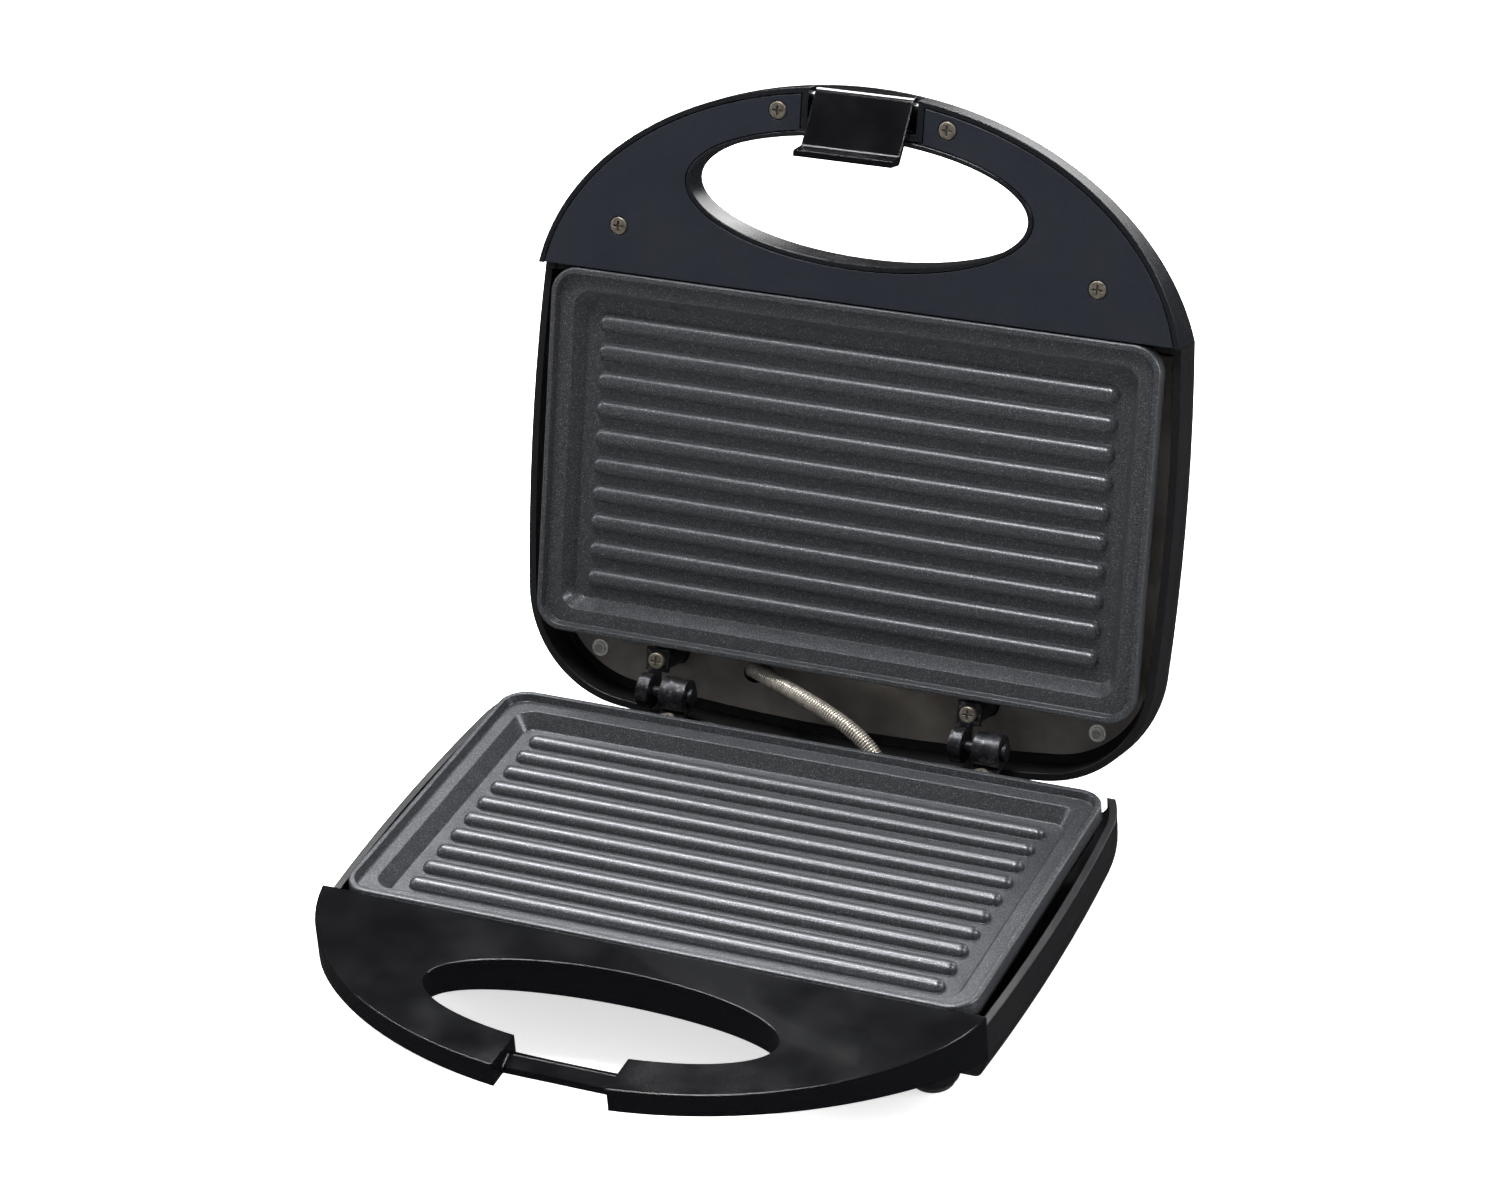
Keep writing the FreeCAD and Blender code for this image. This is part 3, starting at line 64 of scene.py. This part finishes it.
class Finish:
    # One procedural material, built up from a Principled shader
    noiseLow, noiseHigh = 0.3, 0.7
    bevelSamples = 4

    def __init__(self, name, colour, roughness, metallic=0.0, specular=0.5):
        self.material = bpy.data.materials.new(name)
        self.material.use_nodes = True
        self.tree = self.material.node_tree
        self.shader = self.tree.nodes["Principled BSDF"]
        self.place = self.tree.nodes.new("ShaderNodeTexCoord").outputs["Object"]
        self.normal = None
        self.put("Base Color", (*colour, 1.0))
        self.put("Roughness", roughness)
        self.put("Metallic", metallic)
        self.put("Specular IOR Level", specular)
        self.material.diffuse_color = (*colour, 1.0)

    def put(self, socket, value):
        self.shader.inputs[socket].default_value = value
        return self

    def node(self, kind, **inputs):
        made = self.tree.nodes.new(kind)
        for key, value in inputs.items():
            made.inputs[key.replace("_", " ")].default_value = value
        return made

    def link(self, source, target):
        self.tree.links.new(source, target)

    def stretched(self, scale):
        mapping = self.node("ShaderNodeMapping", Scale=scale)
        self.link(self.place, mapping.inputs["Vector"])
        return mapping.outputs["Vector"]

    def noise(self, scale, detail=3.0, roughness=0.55, stretch=None):
        made = self.node("ShaderNodeTexNoise", Scale=scale, Detail=detail, Roughness=roughness)
        self.link(self.stretched(stretch) if stretch else self.place, made.inputs["Vector"])
        return made.outputs["Fac"]

    def ramp(self, source, stops):
        made = self.tree.nodes.new("ShaderNodeValToRGB")
        elements = made.color_ramp.elements
        while len(elements) < len(stops):
            elements.new(0.5)
        for element, (position, colour) in zip(elements, stops):
            element.position = position
            element.color = (*colour, 1.0)
        self.link(source, made.inputs["Fac"])
        return made.outputs["Color"]

    def mottle(self, scale, stops, detail=4.0, stretch=None):
        # Colour that varies over the surface
        colour = self.ramp(self.noise(scale, detail, stretch=stretch), stops)
        self.link(colour, self.shader.inputs["Base Color"])
        return self

    def wearRough(self, scale, low, high, detail=4.0, stretch=None):
        # Roughness that varies between two values
        made = self.node("ShaderNodeMapRange", To_Min=low, To_Max=high)
        made.inputs["From Min"].default_value = self.noiseLow
        made.inputs["From Max"].default_value = self.noiseHigh
        self.link(self.noise(scale, detail, stretch=stretch), made.inputs["Value"])
        self.link(made.outputs["Result"], self.shader.inputs["Roughness"])
        return self

    def softEdges(self, radius):
        # Rounds the light on sharp edges
        made = self.node("ShaderNodeBevel", Radius=radius)
        made.samples = self.bevelSamples
        self.normal = made.outputs["Normal"]
        self.link(self.normal, self.shader.inputs["Normal"])
        return self

    def grain(self, scale, strength, distance=0.0001, detail=2.0, stretch=None):
        # Fine bumps in the surface
        made = self.node("ShaderNodeBump", Strength=strength, Distance=distance)
        self.link(self.noise(scale, detail, stretch=stretch), made.inputs["Height"])
        if self.normal:
            self.link(self.normal, made.inputs["Normal"])
        self.normal = made.outputs["Normal"]
        self.link(self.normal, self.shader.inputs["Normal"])
        return self


def nonStickCoating():
    # Dark grey coating with fine pale specks
    finish = Finish("nonStickCoating", (0.05, 0.052, 0.056), 0.34, metallic=0.6)
    finish.mottle(2400, [
        (0.32, (0.036, 0.038, 0.042)), (0.55, (0.066, 0.069, 0.075)), (0.71, (0.20, 0.206, 0.22)),
    ])
    finish.wearRough(140, 0.28, 0.36)
    return finish.softEdges(0.0007).grain(2000, 0.24, 0.0001).material


def satinCasing():
    finish = Finish("satinCasing", (0.0055, 0.0056, 0.0065), 0.30)
    return finish.wearRough(90, 0.30, 0.42).softEdges(0.0006).grain(3200, 0.10, 0.00006).material


def pianoBlack():
    # Polished black moulding
    finish = Finish("pianoBlack", (0.0018, 0.0019, 0.0026), 0.10)
    finish.put("Coat Weight", 0.6).put("Coat Roughness", 0.04)
    return finish.wearRough(60, 0.08, 0.15).softEdges(0.0007).grain(35, 0.04, 0.0004).material


def handleRimBlack():
    finish = Finish("handleRimBlack", (0.006, 0.0065, 0.008), 0.22)
    return finish.wearRough(80, 0.20, 0.30).softEdges(0.0007).grain(2600, 0.08, 0.00005).material


def slateSatin():
    # The inset cover of the lid's handle
    finish = Finish("slateSatin", (0.011, 0.0135, 0.021), 0.40)
    finish.mottle(900, [(0.3, (0.0074, 0.0092, 0.0142)), (0.7, (0.0098, 0.0120, 0.0184))])
    return finish.wearRough(40, 0.34, 0.46).softEdges(0.0004).grain(2400, 0.12, 0.00005).material


def hingeSteel():
    # Dark plating, rubbed bright in places
    finish = Finish("hingeSteel", (0.06, 0.06, 0.065), 0.34, metallic=0.85)
    finish.mottle(500, [
        (0.36, (0.022, 0.023, 0.026)), (0.58, (0.05, 0.05, 0.055)), (0.78, (0.22, 0.22, 0.23)),
    ])
    return finish.wearRough(260, 0.26, 0.44).softEdges(0.0006).grain(700, 0.2, 0.0001).material


def zincSteel():
    finish = Finish("zincSteel", (0.42, 0.42, 0.42), 0.32, metallic=1.0)
    finish.mottle(500, [(0.3, (0.26, 0.26, 0.27)), (0.7, (0.52, 0.52, 0.51))])
    return finish.wearRough(300, 0.26, 0.44).softEdges(0.0002).grain(900, 0.12, 0.0001).material


def brownedSteel():
    # Screws in the lid's handle and hinges
    finish = Finish("brownedSteel", (0.20, 0.18, 0.15), 0.40, metallic=0.8)
    finish.mottle(700, [(0.3, (0.13, 0.115, 0.095)), (0.7, (0.30, 0.27, 0.22))])
    return finish.wearRough(400, 0.32, 0.5).softEdges(0.0002).grain(1200, 0.12, 0.0001).material


def windingWire():
    # Warm silver wire of the sheath
    finish = Finish("windingWire", (0.62, 0.58, 0.52), 0.3, metallic=0.7)
    finish.mottle(320, [(0.3, (0.36, 0.33, 0.29)), (0.7, (0.58, 0.54, 0.48))])
    return finish.wearRough(500, 0.24, 0.36).grain(1500, 0.05, 0.00004).material


def millSheet():
    # Bare sheet behind the plates, stained by heat
    finish = Finish("millSheet", (0.42, 0.39, 0.365), 0.36, metallic=0.75)
    finish.mottle(30, [(0.32, (0.22, 0.20, 0.19)), (0.68, (0.46, 0.43, 0.40))])
    return finish.wearRough(120, 0.28, 0.44).grain(420, 0.10, 0.0002).material


def brushedCover():
    finish = Finish("brushedCover", (0.55, 0.55, 0.56), 0.34, metallic=0.7)
    finish.put("Anisotropic", 0.5)
    finish.mottle(30, [(0.3, (0.46, 0.46, 0.47)), (0.7, (0.60, 0.60, 0.61))], stretch=(1.0, 2.0, 50.0))
    finish.wearRough(24, 0.22, 0.38, stretch=(1.0, 2.0, 70.0))
    return finish.softEdges(0.0003).grain(24, 0.10, 0.0001, stretch=(1.0, 2.0, 80.0)).material


def elementSteel():
    finish = Finish("elementSteel", (0.22, 0.2, 0.18), 0.45, metallic=0.9)
    finish.mottle(160, [(0.3, (0.12, 0.11, 0.10)), (0.7, (0.28, 0.25, 0.22))])
    return finish.wearRough(200, 0.38, 0.55).grain(900, 0.2, 0.0001).material


def paleMoulding():
    # White heat-resistant pieces
    finish = Finish("paleMoulding", (0.72, 0.71, 0.67), 0.5)
    finish.mottle(70, [(0.3, (0.66, 0.65, 0.60)), (0.7, (0.78, 0.77, 0.73))])
    return finish.softEdges(0.0003).grain(2200, 0.12, 0.00006).material


def wovenSleeve():
    finish = Finish("wovenSleeve", (0.72, 0.70, 0.64), 0.8)
    finish.mottle(2500, [(0.35, (0.55, 0.53, 0.47)), (0.65, (0.78, 0.76, 0.70))])
    return finish.put("Sheen Weight", 0.3).grain(2500, 0.5, 0.0002).material


def blackRubber():
    finish = Finish("blackRubber", (0.02, 0.02, 0.02), 0.66, specular=0.3)
    finish.mottle(300, [(0.3, (0.014, 0.014, 0.014)), (0.7, (0.03, 0.03, 0.03))])
    return finish.softEdges(0.0004).grain(1600, 0.25, 0.0001).material


def clearLens(name, colour, deep):
    finish = Finish(name, colour, 0.12)
    finish.put("Transmission Weight", 0.6).put("Coat Weight", 0.4)
    finish.mottle(200, [(0.3, deep), (0.7, colour)])
    return finish.grain(600, 0.05, 0.0001).material


def lampGlass():
    finish = Finish("lampGlass", (0.95, 0.9, 0.85), 0.05)
    finish.put("Transmission Weight", 0.9)
    return finish.wearRough(300, 0.03, 0.09).material


def pushNutWhite():
    finish = Finish("pushNutWhite", (0.7, 0.69, 0.66), 0.4, metallic=0.3)
    finish.mottle(700, [(0.3, (0.55, 0.54, 0.52)), (0.7, (0.82, 0.81, 0.78))])
    return finish.grain(1500, 0.1).material


finishes = {
    "nonStick": nonStickCoating(),
    "casing": satinCasing(),
    "gloss": pianoBlack(),
    "rim": handleRimBlack(),
    "slate": slateSatin(),
    "hinge": hingeSteel(),
    "steel": zincSteel(),
    "brownScrew": brownedSteel(),
    "wire": windingWire(),
    "sheet": millSheet(),
    "cover": brushedCover(),
    "element": elementSteel(),
    "pale": paleMoulding(),
    "sleeve": wovenSleeve(),
    "rubber": blackRubber(),
    "redLens": clearLens("redLens", (0.6, 0.02, 0.02), (0.4, 0.01, 0.01)),
    "greenLens": clearLens("greenLens", (0.04, 0.45, 0.1), (0.02, 0.3, 0.06)),
    "lampGlass": lampGlass(),
    "pushNut": pushNutWhite(),
}
print("finishes made:", len(finishes))

nodeFinish = {
    "base_shell": "casing", "lid_frame": "casing", "base_handle": "gloss", "lid_handle": "rim",
    "base_handle_cover": "casing", "lid_handle_cover": "slate",
    "lower_plate": "nonStick", "upper_plate": "nonStick",
    "lower_heating_element": "element", "upper_heating_element": "element",
    "lower_reflector": "sheet", "upper_reflector": "sheet",
    "lower_thermostat": "steel", "upper_thermostat": "steel",
    "thermal_fuse": "pale", "terminal_block": "pale", "lamp_holder": "pale",
    "base_leads": "sleeve", "lid_leads": "sleeve",
    "cord_gland": "rubber", "flexible_sheath": "wire",
    "sheath_clamp_base": "casing", "sheath_clamp_lid": "casing",
    "lid_cover": "cover", "cover_push_nuts": "pushNut",
    "indicator_lens_power": "redLens", "indicator_lens_ready": "greenLens", "indicator_lamps": "lampGlass",
    "latch": "gloss", "latch_pin": "steel",
    "lid_handle_screws": "brownScrew", "hinge_screws_base": "brownScrew", "hinge_screws_lid": "brownScrew",
}
startFinish = {"foot_": "rubber", "hinge_bracket": "hinge", "hinge_pin": "hinge"}


def finishOf(name):
    if name in nodeFinish:
        return nodeFinish[name]
    for start, finish in startFinish.items():
        if name.startswith(start):
            return finish
    return "steel"


for name, node in nodes.items():
    for slot in node.material_slots:
        slot.material = finishes[finishOf(name)]
print("finishes given to the frame's nodes")

# ---- wound sheath between base and lid

sheath = {
    "route": [
        (-0.0410, 0.098655, 0.0350), (-0.0345, 0.089655, 0.0414), (-0.0270, 0.081155, 0.0454),
        (-0.0140, 0.073455, 0.0467), (0.0010, 0.067655, 0.0448), (0.0130, 0.064055, 0.0412),
        (0.0216, 0.061455, 0.0354), (0.0260, 0.059855, 0.0270), (0.0275, 0.058655, 0.0170),
    ],
    "pitch": 0.00098,
    "coreRadius": 0.0022,
    "ringRadius": 0.00232,
    "wireRadius": 0.00043,
    "routeSteps": 16,
    "coreSides": 20,
    "ringSides": 28,
    "wireSides": 8,
}


def routeCurve(name, points, steps):
    data = bpy.data.curves.new(name, "CURVE")
    data.dimensions = "3D"
    spline = data.splines.new("NURBS")
    spline.points.add(len(points) - 1)
    for knot, point in zip(spline.points, points):
        knot.co = (*point, 1.0)
    spline.order_u = 3
    spline.use_endpoint_u = True
    spline.resolution_u = steps
    curve = bpy.data.objects.new(name, data)
    bpy.context.scene.collection.objects.link(curve)
    return curve


def windingTree(values):
    # Rings of wire set side by side along a curve, over a plain core
    tree = bpy.data.node_groups.new("windingTree", "GeometryNodeTree")
    face = tree.interface
    face.new_socket("Geometry", in_out="INPUT", socket_type="NodeSocketGeometry")
    for label in ("Pitch", "Core Radius", "Ring Radius", "Wire Radius"):
        face.new_socket(label, in_out="INPUT", socket_type="NodeSocketFloat")
    face.new_socket("Material", in_out="INPUT", socket_type="NodeSocketMaterial")
    face.new_socket("Geometry", in_out="OUTPUT", socket_type="NodeSocketGeometry")
    make, link = tree.nodes.new, tree.links.new
    start, end = make("NodeGroupInput"), make("NodeGroupOutput")

    spots = make("GeometryNodeCurveToPoints")
    spots.mode = "LENGTH"
    link(start.outputs["Geometry"], spots.inputs["Curve"])
    link(start.outputs["Pitch"], spots.inputs["Length"])

    ring = make("GeometryNodeCurvePrimitiveCircle")
    ring.inputs["Resolution"].default_value = values["ringSides"]
    link(start.outputs["Ring Radius"], ring.inputs["Radius"])
    wire = make("GeometryNodeCurvePrimitiveCircle")
    wire.inputs["Resolution"].default_value = values["wireSides"]
    link(start.outputs["Wire Radius"], wire.inputs["Radius"])
    swept = make("GeometryNodeCurveToMesh")
    link(ring.outputs["Curve"], swept.inputs["Curve"])
    link(wire.outputs["Curve"], swept.inputs["Profile Curve"])

    placed = make("GeometryNodeInstanceOnPoints")
    link(spots.outputs["Points"], placed.inputs["Points"])
    link(spots.outputs["Rotation"], placed.inputs["Rotation"])
    link(swept.outputs["Mesh"], placed.inputs["Instance"])

    outline = make("GeometryNodeCurvePrimitiveCircle")
    outline.inputs["Resolution"].default_value = values["coreSides"]
    link(start.outputs["Core Radius"], outline.inputs["Radius"])
    core = make("GeometryNodeCurveToMesh")
    core.inputs["Fill Caps"].default_value = True
    link(start.outputs["Geometry"], core.inputs["Curve"])
    link(outline.outputs["Curve"], core.inputs["Profile Curve"])

    joined = make("GeometryNodeJoinGeometry")
    link(placed.outputs["Instances"], joined.inputs["Geometry"])
    link(core.outputs["Mesh"], joined.inputs["Geometry"])
    real = make("GeometryNodeRealizeInstances")
    link(joined.outputs["Geometry"], real.inputs["Geometry"])
    painted = make("GeometryNodeSetMaterial")
    link(real.outputs["Geometry"], painted.inputs["Geometry"])
    link(start.outputs["Material"], painted.inputs["Material"])
    link(painted.outputs["Geometry"], end.inputs["Geometry"])
    return tree


def grown(source, tree, values, name):
    # Runs a node tree on an object and keeps the result as a plain mesh
    modifier = source.modifiers.new("growth", "NODES")
    modifier.node_group = tree
    for item in tree.interface.items_tree:
        if item.in_out == "INPUT" and item.name in values:
            modifier[item.identifier] = values[item.name]
    bpy.context.view_layer.update()
    seen = source.evaluated_get(bpy.context.evaluated_depsgraph_get())
    mesh = bpy.data.meshes.new_from_object(seen)
    mesh.name = name
    piece = bpy.data.objects.new(name, mesh)
    bpy.context.scene.collection.objects.link(piece)
    source.modifiers.remove(modifier)
    bpy.data.objects.remove(source)
    for polygon in mesh.polygons:
        polygon.use_smooth = True
    return piece


sheathCurve = routeCurve("sheathRoute", sheath["route"], sheath["routeSteps"])
sheathWinding = grown(sheathCurve, windingTree(sheath), {
    "Pitch": sheath["pitch"], "Core Radius": sheath["coreRadius"], "Ring Radius": sheath["ringRadius"],
    "Wire Radius": sheath["wireRadius"], "Material": finishes["wire"],
}, "sheathWinding")
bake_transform(sheathWinding)
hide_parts("flexible_sheath")
print("sheath wound")

# ---- floor and light

studio = {
    "floorSize": 8.0,
    "floorColour": (0.9, 0.9, 0.9),
    "floorGlow": 0.62,
    "skyStrength": 0.9,
    "glossSky": 0.03,
    "lamps": [
        {"name": "backBox", "place": (-0.95, 1.0, 1.9), "aim": (0, 0, 0.1), "size": (1.1, 0.7), "power": 60},
        {"name": "leftBox", "place": (-2.0, -0.5, 1.3), "aim": (0, 0, 0.1), "size": (0.35, 1.6), "power": 18},
        {"name": "rightBox", "place": (2.0, 0.5, 0.9), "aim": (0, 0, 0.1), "size": (0.5, 1.8), "power": 46},
        {"name": "rearBox", "place": (0.5, 2.3, 0.8), "aim": (0, 0, 0.1), "size": (2.4, 0.8), "power": 34},
        {"name": "topBox", "place": (-0.2, -0.3, 2.3), "aim": (0, 0, 0.1), "size": (1.0, 0.5), "power": 62},
    ],
}


def makeFloor(values):
    mesh = bpy.data.meshes.new("studioFloor")
    half = values["floorSize"] / 2
    corners = [(-half, -half, 0), (half, -half, 0), (half, half, 0), (-half, half, 0)]
    mesh.from_pydata(corners, [], [(0, 1, 2, 3)])
    floor = bpy.data.objects.new("studioFloor", mesh)
    bpy.context.scene.collection.objects.link(floor)
    white = Finish("floorWhite", values["floorColour"], 0.8, specular=0.1)
    white.put("Emission Color", (1.0, 1.0, 1.0, 1.0)).put("Emission Strength", values["floorGlow"])
    mesh.materials.append(white.material)
    floor.visible_glossy = False


def makeLamp(values):
    data = bpy.data.lights.new(values["name"], "AREA")
    data.shape = "RECTANGLE"
    data.size, data.size_y = values["size"]
    data.energy = values["power"]
    lamp = bpy.data.objects.new(values["name"], data)
    bpy.context.scene.collection.objects.link(lamp)
    lamp.location = values["place"]
    way = Vector(values["aim"]) - Vector(values["place"])
    lamp.rotation_euler = way.to_track_quat("-Z", "Y").to_euler()


def makeSky(values):
    # An even white room for the light, and a dark one for reflections
    world = bpy.data.worlds.new("studioSky")
    world.use_nodes = True
    tree = world.node_tree
    light = tree.nodes["Background"]
    light.inputs["Strength"].default_value = values["skyStrength"]
    light.inputs["Color"].default_value = (1, 1, 1, 1)
    dark = tree.nodes.new("ShaderNodeBackground")
    dark.inputs["Strength"].default_value = values["glossSky"]
    rays = tree.nodes.new("ShaderNodeLightPath")
    mix = tree.nodes.new("ShaderNodeMixShader")
    tree.links.new(rays.outputs["Is Glossy Ray"], mix.inputs["Fac"])
    tree.links.new(light.outputs["Background"], mix.inputs[1])
    tree.links.new(dark.outputs["Background"], mix.inputs[2])
    tree.links.new(mix.outputs["Shader"], tree.nodes["World Output"].inputs["Surface"])
    bpy.context.scene.world = world


makeFloor(studio)
for lampValues in studio["lamps"]:
    makeLamp(lampValues)
makeSky(studio)
bpy.context.scene.view_settings.view_transform = "Standard"
print("studio lit")
